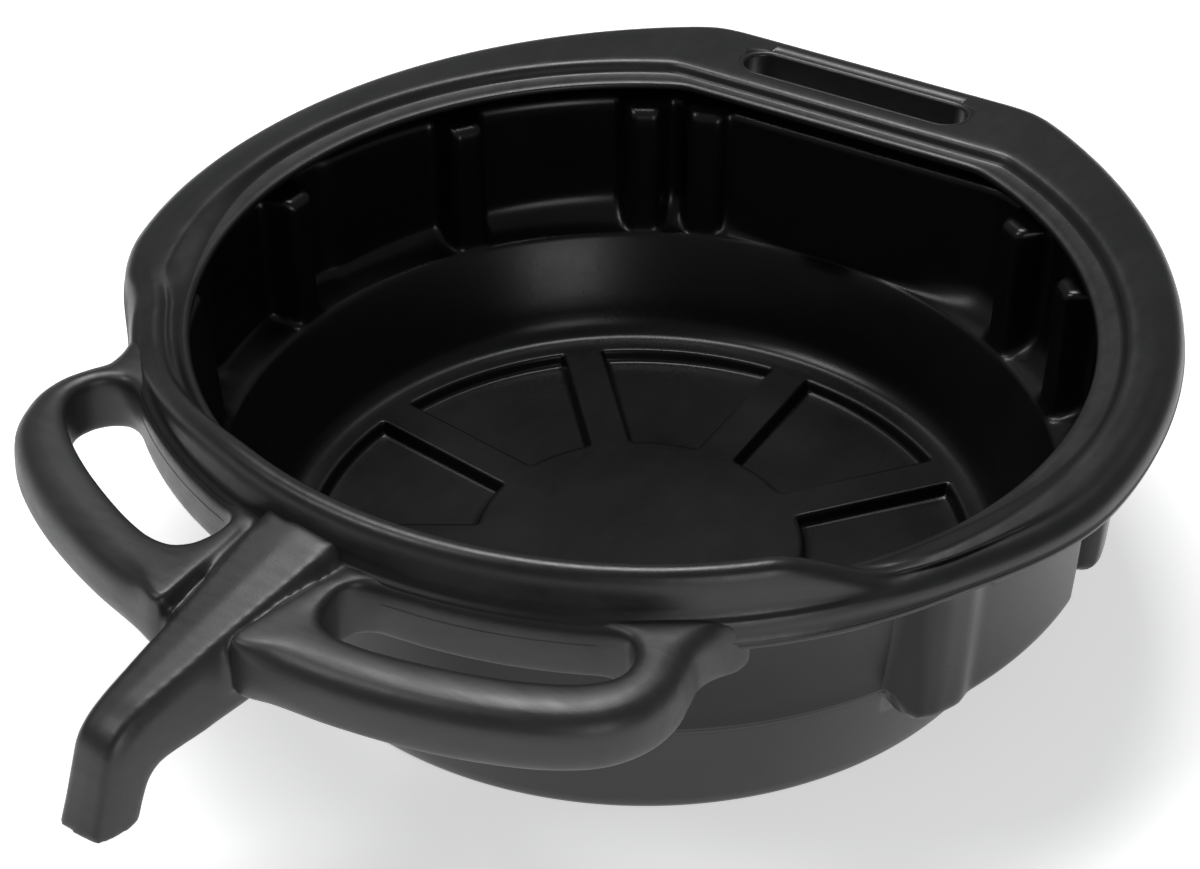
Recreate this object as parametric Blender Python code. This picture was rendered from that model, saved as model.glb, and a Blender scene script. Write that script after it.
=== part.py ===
"""Oil drain pan: a round blow-moulded basin with two front handles, a rear grip and a pour spout."""

import math

import bmesh
import bpy

# All dimensions are millimetres and degrees. Plan angles are counted from +X towards the rear, +Y.
MM = 0.001
SHIFT_X = 1.6
SHIFT_Y = 49.0
SKIN = 3.0
GAP = 0.3
FRONT_AXIS = -98.1

# Floor and conical sump
RIB_COUNT = 9
RIB_ANGLE = 90.0
RIB_HALF = 9.0
RIB_DRAFT = 2.5
HUB_RADIUS = 74.0
PAD_OUTER = 152.0
FLOOR_Z = 9.0
PAD_Z = 3.0
FLOOR_RADIUS = 157.0
FOOT_RADIUS = 166.0
FOOT_INNER = (159.0, 6.0)
CONE_BASE = (171.6, 4.5)
CONE_SLOPE = 0.327
SUMP_LIP = (185.4, 53.65)
CENTRE_RADIUS = 26.0
SUMP_COLUMNS = 8

# Side wall
WALL_RADIUS = 203.0
WALL_CHORD = 186.6
WALL_DRAFT = 2.4
SHELF_RADIUS = 187.2
SHELF_Z = 56.2
FILLET_Z = 62.0
FILLET_RISE = 11.0
FRONT_WALL_RADIUS = 189.4
FRONT_WALL_TOP = 195.2
FRONT_RIGHT = -30.0
FRONT_LEFT = -158.0
FRONT_BLEND = 2.0
BULGES = (-24.5, 10.8, 169.2, 196.5)
BULGE_HEIGHT = 3.2
BULGE_HALF = 4.4
PILASTERS = (4.4, 41.0, 57.0, 110.0, 119.0, 145.5, 175.6)
PILASTER_RADIUS = 188.9
PILASTER_HALF = 2.0
PILASTER_DRAFT = 1.5
PILASTER_FLARE = 1.1
WALL_TOP_Z = 118.5
UNDER_Z = 123.4
PARTING_Z = 129.5

# Rim
TRIM_RADIUS = 194.2
TRIM_CHORD = 178.5
LEDGE_RADIUS = 203.5
LEDGE_CHORD = 184.6
LEDGE_FRONT_RADIUS = 196.6
LEDGE_Z = 136.5
STEP_RADIUS = 208.6
STEP_CHORD = 189.0
STEP_Z = 141.6
FLANGE_EDGE_Z = 139.3
OUTER_CHORD = 241.0
OUTER_RIGHT = 228.8
OUTER_LEFT = 232.0
OUTER_SWELL = 18.4
SWELL_SPAN = 60.0
LIP_RADIUS = 220.0
LIP_RIGHT = (-6.0, -30.0)
LIP_LEFT = (-164.0, -142.5)
GRIP_ANGLE = 24.0

# Splash ridge at the front
RIDGE_HEIGHT = 17.0
RIDGE_RIGHT = (-26.0, -40.0)
RIDGE_LEFT = (-157.0, -147.0)
CREST_RIGHT = (-33.0, -48.0)
CREST_LEFT = (-141.0, -108.0)
RIDGE_CREST_RADIUS = 208.6
INNER_RIGHT = (6.0, -28.0)
INNER_LEFT = (174.0, 206.0)

# Rear slot
SLOT_CENTRE_X = -2.0
SLOT_CENTRE_Y = 210.5
SLOT_HALF_LENGTH = 58.0
SLOT_HALF_WIDTH = 10.8
COLLAR_BOTTOM_Z = 119.6

# Handles: (angle from the front axis, radius) along the outer edge and along the finger slot
HANDLE_OUTER = (
    (45.4, 220.3), (44.0, 223.6), (42.9, 231.0), (42.0, 240.0), (40.8, 251.0), (38.6, 262.4),
    (35.4, 271.2), (31.0, 275.2), (25.0, 276.2), (18.5, 276.0), (12.5, 275.8), (7.0, 275.8),
    (4.4, 275.4), (3.52, 272.6), (3.64, 266.0), (4.15, 252.0), (4.85, 234.0), (5.4, 220.3),
)
HANDLE_SLOT = (
    (33.6, 220.3), (35.4, 222.4), (36.3, 226.0), (36.7, 232.0), (36.4, 239.0), (35.2, 246.0),
    (32.4, 250.6), (28.4, 252.2), (23.5, 252.5), (18.0, 252.6), (13.8, 252.8), (10.8, 251.8),
    (8.9, 248.0), (8.0, 242.0), (7.7, 235.0), (7.8, 228.5), (8.6, 222.8), (10.2, 220.3),
)
HANDLE_SPREAD = {1.0: -0.3, -1.0: -2.3}
HANDLE_TOP_Z = 139.0
HANDLE_BOTTOM_Z = 112.0
HANDLE_ROUND = 8.0
HANDLE_SPOUT_ROUND = 2.0
SLOT_ROUND = 4.0

# Spout stations: top radius and height, underside radius and height, flat and overall half widths
SPOUT = (
    (220.4, 145.0, 220.4, 106.0, 17.3, 20.3),
    (235.0, 141.8, 234.5, 101.5, 15.9, 19.3),
    (260.0, 136.4, 258.5, 97.6, 13.4, 17.1),
    (285.0, 130.9, 282.0, 96.0, 10.9, 15.0),
    (303.0, 127.0, 298.5, 95.8, 9.0, 13.6),
    (313.0, 124.6, 305.0, 95.0, 8.0, 12.9),
    (321.5, 120.8, 309.5, 93.0, 7.6, 12.6),
    (328.0, 115.0, 312.5, 89.5, 7.6, 12.4),
    (332.2, 104.5, 315.0, 84.5, 7.9, 12.2),
    (336.5, 91.5, 316.8, 80.5, 8.4, 12.2),
    (341.2, 78.8, 318.2, 76.8, 9.0, 12.2),
)
SPOUT_SKIN = 2.8
PORT_HALF_WIDTH = 13.5
PORT_Z = (123.6, 136.2)


def wrap(angle):
    """Angle brought into -180 to 180 degrees."""
    return (angle + 180.0) % 360.0 - 180.0


def rearness(theta):
    """Degrees from the side towards the rear; negative towards the front."""
    return 90.0 - abs(wrap(theta - 90.0))


def ease(start, end, value):
    """Smooth 0 to 1 as value goes from start to end, in either direction."""
    t = (value - start) / (end - start)
    t = min(1.0, max(0.0, t))
    return t * t * (3.0 - 2.0 * t)


def mix(a, b, t):
    return a + (b - a) * t


def from_front(theta, right, left):
    """1 across the front between the right and left ramps, 0 over the sides and rear."""
    angle = wrap(theta + 90.0) - 90.0
    if angle > -90.0:
        return ease(right[0], right[1], angle)
    turned = [limit - 360.0 if limit > 0.0 else limit for limit in left]
    return ease(turned[0], turned[1], angle)


def clipped(radius, chord, theta, softness):
    """Circle of the given radius cut off straight at y = chord, with a soft corner."""
    sine = math.sin(math.radians(theta))
    if sine < 0.5:
        return radius
    flat = chord / sine
    near = min(radius, flat)
    spread = math.exp((near - radius) / softness) + math.exp((near - flat) / softness)
    return near - softness * math.log(spread)


def trim_radius(theta):
    return clipped(TRIM_RADIUS, TRIM_CHORD, theta, 0.8)


def ledge_radius(theta):
    side = mix(LEDGE_RADIUS, LEDGE_FRONT_RADIUS, from_front(theta, INNER_RIGHT, INNER_LEFT))
    return clipped(side, LEDGE_CHORD, theta, 0.8)


def step_radius(theta):
    return clipped(STEP_RADIUS, STEP_CHORD, theta, 0.8)


def outer_radius(theta):
    angle = rearness(theta)
    side = OUTER_RIGHT if abs(wrap(theta)) < 90.0 else OUTER_LEFT
    swell = max(0.0, angle) / SWELL_SPAN
    side = side + OUTER_SWELL * swell * swell
    side = mix(side, LIP_RADIUS, from_front(theta, LIP_RIGHT, LIP_LEFT))
    return clipped(side, OUTER_CHORD, theta, 2.4)


def crest_height(theta):
    return RIDGE_HEIGHT * from_front(theta, CREST_RIGHT, CREST_LEFT)


def pilaster(theta):
    """0 to 1 where the wall is pushed in to form a pilaster."""
    reach = 0.0
    for centre in PILASTERS:
        away = abs(wrap(theta - centre))
        reach = max(reach, 1.0 - ease(PILASTER_HALF, PILASTER_HALF + PILASTER_DRAFT, away))
    return reach


def front_panel(theta):
    return from_front(
        theta,
        (FRONT_RIGHT + FRONT_BLEND, FRONT_RIGHT),
        (FRONT_LEFT - FRONT_BLEND, FRONT_LEFT),
    )


def bulge(theta):
    """0 to 1 on the rounded bulges beside the front panels and the side grooves."""
    reach = 0.0
    for centre in BULGES:
        away = abs(wrap(theta - centre))
        reach = max(reach, 1.0 - ease(0.3 * BULGE_HALF, BULGE_HALF, away))
    return reach


def wall_radius(theta, z):
    """Inside radius of the basin wall."""
    rise = max(0.0, z - SHELF_Z) / (WALL_TOP_Z - SHELF_Z)
    side = WALL_RADIUS + WALL_DRAFT * rise + BULGE_HEIGHT * bulge(theta)
    side = clipped(side, WALL_CHORD, theta, 1.2)
    side = mix(side, min(side, PILASTER_RADIUS), pilaster(theta))
    front = mix(FRONT_WALL_RADIUS, FRONT_WALL_TOP, rise)
    return mix(side, front, front_panel(theta))


def offset(points, distance):
    """Open (r, z) line moved sideways by distance, to the right of its direction."""
    moved = []
    last = len(points) - 1
    for index, (r, z) in enumerate(points):
        before = points[max(0, index - 1)]
        after = points[min(last, index + 1)]
        sides = []
        for start, end in ((before, (r, z)), ((r, z), after)):
            length = math.hypot(end[0] - start[0], end[1] - start[1])
            if length > 1e-6:
                sides.append(((end[1] - start[1]) / length, -(end[0] - start[0]) / length))
        nr = sum(side[0] for side in sides) / len(sides)
        nz = sum(side[1] for side in sides) / len(sides)
        scale = distance / max(0.55, nr * nr + nz * nz)
        moved.append((r + nr * scale, z + nz * scale))
    return moved


def spaced(start, end, step):
    """Angles from start to end at about the given step."""
    count = max(2, int(round(abs(end - start) / step)))
    return [mix(start, end, index / count) for index in range(count + 1)]


def place(x, y, z):
    return ((x + SHIFT_X) * MM, (y + SHIFT_Y) * MM, z * MM)


def polar(theta, r, z):
    angle = math.radians(theta)
    return place(r * math.cos(angle), r * math.sin(angle), z)


def on_axis(x, y, z):
    """Point in the frame of the front assembly, whose spout runs along local -Y."""
    turn = math.radians(FRONT_AXIS + 90.0)
    return place(
        x * math.cos(turn) - y * math.sin(turn),
        x * math.sin(turn) + y * math.cos(turn),
        z,
    )


def material(name, colour, roughness, metallic):
    made = bpy.data.materials.new(name)
    made.use_nodes = True
    shader = made.node_tree.nodes["Principled BSDF"]
    shader.inputs["Base Color"].default_value = (*colour, 1.0)
    shader.inputs["Roughness"].default_value = roughness
    shader.inputs["Metallic"].default_value = metallic
    return made


def finish(name, mesh, colour, roughness):
    bmesh.ops.recalc_face_normals(mesh, faces=mesh.faces)
    data = bpy.data.meshes.new(name)
    mesh.to_mesh(data)
    mesh.free()
    made = bpy.data.objects.new(name, data)
    bpy.context.scene.collection.objects.link(made)
    data.materials.append(material(name + "_plastic", colour, roughness, 0.0))
    data.shade_smooth()
    data.set_sharp_from_angle(angle=math.radians(35.0))
    return made


def loft(rings, closed):
    """Skin over rings of equal point count; open ends are capped flat."""
    mesh = bmesh.new()
    rows = [[mesh.verts.new(point) for point in ring] for ring in rings]
    pairs = list(zip(rows, rows[1:]))
    if closed:
        pairs.append((rows[-1], rows[0]))
    for lower, upper in pairs:
        for index in range(len(lower)):
            following = (index + 1) % len(lower)
            mesh.faces.new((lower[index], lower[following], upper[following], upper[index]))
    if not closed:
        mesh.faces.new(rows[0])
        mesh.faces.new(list(reversed(rows[-1])))
    return mesh


# ---- sump -------------------------------------------------------------------------------------
def cone_radius(z):
    """Outside radius of the conical sump."""
    return CONE_BASE[0] + CONE_SLOPE * (z - CONE_BASE[1])


def sump_angle(column, r):
    """Plan angle of a floor column; near the ribs columns run parallel to the rib centre line."""
    sector = 360.0 / RIB_COUNT
    whole, part = divmod(column, SUMP_COLUMNS)
    middle = SUMP_COLUMNS // 2
    side = part if part <= middle else SUMP_COLUMNS - part
    even = sector * side / SUMP_COLUMNS
    reach = min(max(r, HUB_RADIUS * 0.6), PAD_OUTER)
    top = math.degrees(math.asin(RIB_HALF / reach))
    foot = math.degrees(math.asin((RIB_HALF + RIB_DRAFT) / reach))
    beside = (0.0, top, foot, mix(foot, sector / 2.0, 0.5), sector / 2.0)[side]
    fade = ease(PAD_OUTER, CONE_BASE[0], r)
    fade = max(fade, 1.0 - ease(HUB_RADIUS * 0.35, HUB_RADIUS * 0.8, r))
    away = mix(beside, even, fade)
    centre = RIB_ANGLE + sector * whole
    if part > middle:
        return centre + sector - away
    return centre + away


def sump():
    columns = RIB_COUNT * SUMP_COLUMNS
    floor_rows = (
        (CENTRE_RADIUS, False), (HUB_RADIUS, False), (HUB_RADIUS + RIB_DRAFT, True), (112.0, True),
        (PAD_OUTER - RIB_DRAFT, True), (PAD_OUTER, False), (FLOOR_RADIUS, False),
    )
    inner = []
    for r, sunk in floor_rows:
        ring = []
        for column in range(columns):
            part = column % SUMP_COLUMNS
            deep = sunk and 2 <= part <= SUMP_COLUMNS - 2
            ring.append((sump_angle(column, r), r, PAD_Z if deep else FLOOR_Z))
        inner.append(ring)
    lip_r, lip_z = SUMP_LIP
    over = (
        (162.5, FLOOR_Z + 1.4),
        (167.5, FLOOR_Z + 6.6),
        (171.6, FLOOR_Z + 16.0),
        (178.6, 40.0),
        (lip_r, lip_z),
        (cone_radius(lip_z), lip_z),
        (cone_radius(30.0), 30.0),
        CONE_BASE,
        (169.6, 1.3),
        (FOOT_RADIUS, 0.0),
        (FOOT_INNER[0], 0.0),
        FOOT_INNER,
    )
    rings = [[polar(*point) for point in ring] for ring in inner]
    for r, z in over:
        rings.append([polar(sump_angle(column, r), r, z) for column in range(columns)])
    for ring in reversed(inner[:-1]):
        rings.append([polar(theta, r, z - SKIN) for theta, r, z in ring])
    finish("sump", loft(rings, False), (0.02, 0.02, 0.021), 0.4)


# ---- side wall --------------------------------------------------------------------------------
def wall_section(theta):
    """Inside and outside lines of the wall, from the sump's lip up and out under the rim."""
    low = SUMP_LIP[1] + GAP
    outer = outer_radius(theta) - SKIN
    top = wall_radius(theta, WALL_TOP_Z)
    pushed = pilaster(theta)
    fillet = FILLET_Z + FILLET_RISE * max(0.0, rearness(theta)) / 60.0
    fillet = mix(fillet, 72.0, pushed)
    foot = wall_radius(theta, fillet)
    edge = min(SHELF_RADIUS, foot - 0.3)
    wide = foot - edge
    under = UNDER_Z
    inside = [
        (SUMP_LIP[0], low),
        (edge - 0.5, SHELF_Z - 0.7),
        (edge + 0.25 * wide, SHELF_Z + 0.5),
        (edge + 0.72 * wide, mix(SHELF_Z, fillet, 0.36)),
        (edge + 0.94 * wide - PILASTER_FLARE * 0.2 * pushed, mix(SHELF_Z, fillet, 0.7)),
        (foot, fillet),
        (wall_radius(theta, 86.0), 86.0),
        (wall_radius(theta, 108.0), 108.0),
        (top, WALL_TOP_Z),
        (top + 1.3, under - 1.9),
        (top + 4.2, under),
        (mix(top + 4.2, outer, 0.6), under + 0.3),
        (outer - 3.2, under + 0.9),
        (outer - 1.0, under + 3.0),
        (outer, PARTING_Z - GAP / 2.0),
    ]
    skin = wall_radius(theta, low) + SKIN
    tight = 1.0 - min(1.0, max(0.0, (skin - 192.6) / 11.0))
    start = cone_radius(low) + 0.1
    loose = ((0.1, 52.2), (0.4, 51.2), (0.76, 52.0), (0.96, 55.0), (1.0, 60.5))
    snug = ((56.0, 0.35), (58.6, 0.25), (61.6, 0.15), (62.8, 0.08), (66.0, 0.0))
    outside = [(start, low)]
    for (share, loose_z), (snug_z, slack) in zip(loose, snug):
        snug_r = min(cone_radius(snug_z), skin - slack) if snug_z < 62.0 else skin - slack
        outside.append((mix(mix(start, skin, share), snug_r, tight), mix(loose_z, snug_z, tight)))
    outside = outside + offset(inside, SKIN)[6:]
    outside[-1] = (outside[-1][0], inside[-1][1])
    return inside, outside


def wall_angles():
    """Plan angles of the wall's columns: a regular step, and both edges of each pilaster and panel."""
    edges = []
    for centre in PILASTERS:
        for away in (PILASTER_HALF, PILASTER_HALF + PILASTER_DRAFT):
            edges.extend((centre - away, centre + away))
    edges.extend((FRONT_RIGHT, FRONT_RIGHT + FRONT_BLEND, FRONT_LEFT, FRONT_LEFT - FRONT_BLEND))
    for centre in BULGES:
        for away in (-1.0, -0.65, -0.3, 0.3, 0.65, 1.0):
            edges.append(centre + away * BULGE_HALF)
    for piece in rim_pieces():
        edges.append(piece[1])
    kept = []
    for angle in sorted(wrap(edge) for edge in edges):
        if not kept or angle - kept[-1] > 0.5:
            kept.append(angle)
    for step in range(72):
        angle = wrap(5.0 * step)
        if all(abs(wrap(angle - other)) > 1.6 for other in kept):
            kept.append(angle)
    return sorted(kept)


def side_wall():
    rings = []
    for theta in wall_angles():
        inside, outside = wall_section(theta)
        section = inside + list(reversed(outside))
        rings.append([polar(theta, r, z) for r, z in section])
    made = finish("side_wall", loft(rings, True), (0.025, 0.025, 0.026), 0.42)
    cut(made, [stadium(GAP + SKIN, PARTING_Z + 8.0, COLLAR_BOTTOM_Z - 12.0), port_cutter()])


# ---- rim --------------------------------------------------------------------------------------
def rim_section(theta):
    """Top line of the rim, from the ledge up the step, over the flange or ridge, down to the parting line."""
    ledge = ledge_radius(theta)
    step = step_radius(theta)
    outer = outer_radius(theta)
    height = crest_height(theta)
    crest = STEP_Z + height
    side = [
        (ledge + GAP / 2.0, LEDGE_Z),
        (ledge + 1.4, LEDGE_Z + 0.9),
        (step - 1.8, STEP_Z - 1.2),
        (step + 0.6, STEP_Z),
        (mix(step, outer, 0.25), STEP_Z - 0.3),
        (mix(step, outer, 0.45), STEP_Z - 0.9),
        (outer - 8.4, FLANGE_EDGE_Z + 0.4),
        (outer - 4.8, FLANGE_EDGE_Z - 0.7),
        (outer - 2.0, FLANGE_EDGE_Z - 2.8),
        (outer - 0.4, FLANGE_EDGE_Z - 5.8),
        (outer, PARTING_Z + GAP / 2.0),
    ]
    top = RIDGE_CREST_RADIUS
    front = [
        (ledge + GAP / 2.0, LEDGE_Z),
        (ledge + 1.6, LEDGE_Z + 1.0),
        (mix(ledge, top, 0.42), mix(LEDGE_Z + 2.4, crest, 0.55)),
        (top - 4.6, crest - 2.4),
        (top - 2.0, crest - 0.5),
        (top + 0.8, crest),
        (top + 3.6, crest - 1.2),
        (top + 5.8, crest - 0.22 * height - 1.9),
        (top + 7.6, FLANGE_EDGE_Z + 0.06 * height),
        (top + 10.0, FLANGE_EDGE_Z - 1.6),
        (outer, PARTING_Z + GAP / 2.0),
    ]
    blend = from_front(theta, RIDGE_RIGHT, RIDGE_LEFT)
    return [(mix(a[0], b[0], blend), mix(a[1], b[1], blend)) for a, b in zip(side, front)]


def rim_pieces():
    """Name, first angle, last angle and step of each piece of the rim, with a small gap at each seam."""
    seam = math.degrees(0.5 * GAP / LIP_RADIUS)
    left_end = 90.0 + GRIP_ANGLE
    right_end = 90.0 - GRIP_ANGLE
    return (
        ("rim_right", RIDGE_RIGHT[0] + seam, right_end - seam, 4.0),
        ("rear_grip", right_end + seam, left_end - seam, 3.0),
        ("rim_left", left_end + seam, RIDGE_LEFT[0] + 360.0 - seam, 4.0),
        ("splash_ridge", RIDGE_LEFT[0] + 360.0 + seam, RIDGE_RIGHT[0] + 360.0 - seam, 3.4),
    )


def rim_piece(name, start, end, step):
    rings = []
    for theta in spaced(start, end, step):
        line = rim_section(theta)
        under = offset(line, SKIN)
        under[0] = (line[0][0], under[0][1])
        under[-1] = (under[-1][0], line[-1][1])
        section = line + list(reversed(under))
        rings.append([polar(theta, r, z) for r, z in section])
    return finish(name, loft(rings, False), (0.03, 0.03, 0.031), 0.42)


def seat_ledge():
    rings = []
    angles = [theta for _, start, end, step in rim_pieces() for theta in spaced(start, end, step)]
    for theta in angles:
        inner = trim_radius(theta)
        outer = ledge_radius(theta) - GAP / 2.0
        section = (
            (inner, LEDGE_Z - 1.0),
            (inner + 0.8, LEDGE_Z - 0.2),
            (outer, LEDGE_Z),
            (outer, LEDGE_Z - SKIN),
            (inner, LEDGE_Z - SKIN),
        )
        rings.append([polar(theta, r, z) for r, z in section])
    finish("seat_ledge", loft(rings, True), (0.03, 0.03, 0.031), 0.4)


def rim():
    made = {piece[0]: rim_piece(*piece) for piece in rim_pieces()}
    cut(made["splash_ridge"], [port_cutter()])
    grip = made["rear_grip"]
    collar = stadium(SKIN, STEP_Z - 0.9, COLLAR_BOTTOM_Z)
    union = grip.modifiers.new("collar", "BOOLEAN")
    union.operation = "UNION"
    union.solver = "EXACT"
    union.object = collar
    cut(grip, [stadium(0.0, STEP_Z + 8.0, COLLAR_BOTTOM_Z - 8.0)])


# ---- cutters ----------------------------------------------------------------------------------
def tool(name, mesh):
    bmesh.ops.recalc_face_normals(mesh, faces=mesh.faces)
    data = bpy.data.meshes.new(name)
    mesh.to_mesh(data)
    mesh.free()
    made = bpy.data.objects.new(name, data)
    bpy.context.scene.collection.objects.link(made)
    made.hide_render = True
    made.display_type = "WIRE"
    return made


def stadium(margin, top, bottom):
    """Upright prism round the rear slot, grown sideways by margin."""
    radius = SLOT_HALF_WIDTH + margin
    straight = SLOT_HALF_LENGTH - SLOT_HALF_WIDTH
    outline = []
    for end in (1.0, -1.0):
        for step in range(9):
            angle = math.radians(-90.0 + 22.5 * step)
            x = SLOT_CENTRE_X + end * (straight + radius * math.cos(angle))
            outline.append((x, SLOT_CENTRE_Y + end * radius * math.sin(angle)))
    rings = [[place(x, y, z) for x, y in outline] for z in (bottom, top)]
    return tool("slot_tool", loft(rings, False))


def port_cutter():
    """Box through the rim's front wall where the spout starts."""
    corners = ((-1.0, 213.0), (1.0, 213.0), (1.0, 226.0), (-1.0, 226.0))
    rings = [[on_axis(s * PORT_HALF_WIDTH, -r, z) for s, r in corners] for z in PORT_Z]
    return tool("port_tool", loft(rings, False))


def cut(target, tools):
    for item in tools:
        modifier = target.modifiers.new(item.name, "BOOLEAN")
        modifier.operation = "DIFFERENCE"
        modifier.solver = "EXACT"
        modifier.object = item


# ---- handles ----------------------------------------------------------------------------------
def bar_loop(width, top, bottom, outer_round, inner_round):
    """Cross-section of the handle: distance from the slot edge, height."""
    a = outer_round
    b = inner_round
    return [
        (0.0, bottom + b),
        (0.0, top - b),
        (0.3 * b, top - 0.3 * b),
        (b, top),
        (width - 1.3 * a, top),
        (width - 0.55 * a, top - 0.28 * a),
        (width - 0.12 * a, top - 0.85 * a),
        (width, top - 1.5 * a),
        (width, bottom + 0.8 * a),
        (width - 0.3 * a, bottom + 0.25 * a),
        (width - 0.85 * a, bottom),
        (b, bottom),
        (0.3 * b, bottom + 0.3 * b),
    ]


def handle(name, side):
    outside = []
    inside = []
    for (angle, radius), (slot_angle, slot_radius) in zip(HANDLE_OUTER, HANDLE_SLOT):
        angle = angle + HANDLE_SPREAD[side] * ease(12.0, 38.0, angle)
        far = (radius * math.sin(math.radians(angle)), radius * math.cos(math.radians(angle)))
        near = (slot_radius * math.sin(math.radians(slot_angle)), slot_radius * math.cos(math.radians(slot_angle)))
        width = math.hypot(far[0] - near[0], far[1] - near[1])
        way = ((far[0] - near[0]) / width, (far[1] - near[1]) / width)
        rounding = mix(HANDLE_SPOUT_ROUND, HANDLE_ROUND, ease(4.0, 7.2, angle))
        rounding = min(rounding, 0.42 * width)
        for loops, inset in ((outside, 0.0), (inside, SKIN)):
            section = bar_loop(
                width - 2.0 * inset,
                HANDLE_TOP_Z - inset,
                HANDLE_BOTTOM_Z + inset,
                max(0.8, rounding - 0.8 * inset),
                max(0.8, SLOT_ROUND - 0.8 * inset),
            )
            ring = []
            for along, z in section:
                x = near[0] + way[0] * (along + inset)
                y = near[1] + way[1] * (along + inset)
                ring.append(on_axis(side * x, -y, z))
            loops.append(ring)
    finish(name, loft(outside + list(reversed(inside)), True), (0.03, 0.03, 0.031), 0.42)


# ---- spout ------------------------------------------------------------------------------------
def spout_loop(top, under, flat, wide, skin):
    """Cross-section across the spout, from its top line to its underside."""
    depth = math.hypot(top[0] - under[0], top[1] - under[1])
    flat = flat - 0.6 * skin
    wide = wide - skin
    half = [
        (flat, 0.0),
        (mix(flat, wide, 0.42), 0.07),
        (mix(flat, wide, 0.86), 0.2),
        (wide, 0.32),
        (wide, 0.64),
        (wide - 1.2, 0.9),
        (wide - 4.0, 1.0),
    ]
    first = skin / depth
    ring = []
    for x, part in half + [(-x, part) for x, part in reversed(half)]:
        t = mix(first, 1.0 - first, part)
        r = mix(top[0], under[0], t)
        z = mix(top[1], under[1], t)
        ring.append(on_axis(x, -r, z))
    return ring


def spout():
    outside = []
    inside = []
    for top_r, top_z, under_r, under_z, flat, wide in SPOUT:
        top = (top_r, top_z)
        under = (under_r, under_z)
        outside.append(spout_loop(top, under, flat, wide, 0.0))
        inside.append(spout_loop(top, under, flat, wide, SPOUT_SKIN))
    finish("pour_spout", loft(outside + list(reversed(inside)), True), (0.03, 0.03, 0.031), 0.42)


def build():
    for item in list(bpy.data.objects):
        bpy.data.objects.remove(item)
    sump()
    side_wall()
    seat_ledge()
    rim()
    handle("handle_right", 1.0)
    handle("handle_left", -1.0)
    spout()


build()
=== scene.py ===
import math

import bmesh
import bpy
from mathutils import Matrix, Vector


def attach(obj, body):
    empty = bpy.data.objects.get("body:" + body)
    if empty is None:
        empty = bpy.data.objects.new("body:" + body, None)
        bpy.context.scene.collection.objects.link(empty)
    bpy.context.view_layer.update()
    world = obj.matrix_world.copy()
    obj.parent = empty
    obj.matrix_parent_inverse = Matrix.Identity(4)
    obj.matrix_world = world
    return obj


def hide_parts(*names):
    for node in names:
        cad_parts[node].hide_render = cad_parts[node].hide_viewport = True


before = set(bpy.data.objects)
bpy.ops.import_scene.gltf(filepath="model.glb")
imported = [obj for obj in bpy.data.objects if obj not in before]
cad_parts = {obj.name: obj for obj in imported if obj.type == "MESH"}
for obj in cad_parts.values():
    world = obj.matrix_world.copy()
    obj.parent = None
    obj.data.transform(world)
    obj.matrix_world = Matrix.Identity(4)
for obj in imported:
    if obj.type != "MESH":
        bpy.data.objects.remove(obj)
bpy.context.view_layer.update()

print("frame loaded")

scene = bpy.context.scene

# Lengths are millimetres and angles are degrees, in the basin's own plan: the basin's axis is at
# the middle, the straight rear side is towards +Y, and the spout leaves at the front axis.
plan = {"shiftX": 1.6, "shiftY": 49.0, "frontAxis": -98.1, "unit": 0.001}


def ease(start, end, value):
    t = min(1.0, max(0.0, (value - start) / (end - start)))
    return t * t * (3.0 - 2.0 * t)


def mix(a, b, t):
    return a + (b - a) * t


def wrapAngle(angle):
    return (angle + 180.0) % 360.0 - 180.0


def rearward(theta):
    return 90.0 - abs(wrapAngle(theta - 90.0))


def acrossFront(theta, right, left):
    angle = wrapAngle(theta + 90.0) - 90.0
    if angle > -90.0:
        return ease(right[0], right[1], angle)
    turned = [limit - 360.0 if limit > 0.0 else limit for limit in left]
    return ease(turned[0], turned[1], angle)


def cutStraight(radius, chord, theta, softness):
    sine = math.sin(math.radians(theta))
    if sine < 0.5:
        return radius
    flat = chord / sine
    near = min(radius, flat)
    spread = math.exp((near - radius) / softness) + math.exp((near - flat) / softness)
    return near - softness * math.log(spread)


def place(x, y, z):
    unit = plan["unit"]
    return ((x + plan["shiftX"]) * unit, (y + plan["shiftY"]) * unit, z * unit)


def around(theta, r, z):
    angle = math.radians(theta)
    return place(r * math.cos(angle), r * math.sin(angle), z)


def alongFront(x, y, z):
    turn = math.radians(plan["frontAxis"] + 90.0)
    return place(
        x * math.cos(turn) - y * math.sin(turn),
        x * math.sin(turn) + y * math.cos(turn),
        z,
    )


# A smooth line through the points, with so many steps between each pair.
def smoothLine(points, counts, closed=False):
    total = len(points)
    spans = total if closed else total - 1
    made = []
    for index in range(spans):
        if closed:
            picked = [points[(index + k) % total] for k in (-1, 0, 1, 2)]
        else:
            picked = [points[min(total - 1, max(0, index + k))] for k in (-1, 0, 1, 2)]
        before, start, end, after = [Vector(point) for point in picked]
        if (before - start).length < 1e-6:
            before = start * 2.0 - end
        if (after - end).length < 1e-6:
            after = end * 2.0 - start
        first = max(1e-4, (start - before).length ** 0.5)
        middle = max(1e-4, (end - start).length ** 0.5)
        last = max(1e-4, (after - end).length ** 0.5)
        leave = (start - before) / first - (end - before) / (first + middle) + (end - start) / middle
        reach = (end - start) / middle - (after - start) / (middle + last) + (after - end) / last
        leave = leave * middle
        reach = reach * middle
        count = counts[index] if isinstance(counts, (list, tuple)) else counts
        for step in range(count):
            t = step / count
            a = 2.0 * t ** 3 - 3.0 * t ** 2 + 1.0
            b = t ** 3 - 2.0 * t ** 2 + t
            c = t ** 3 - t ** 2
            made.append(tuple(start * a + leave * b + end * (1.0 - a) + reach * c))
    if not closed:
        made.append(tuple(points[-1]))
    return made


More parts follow.
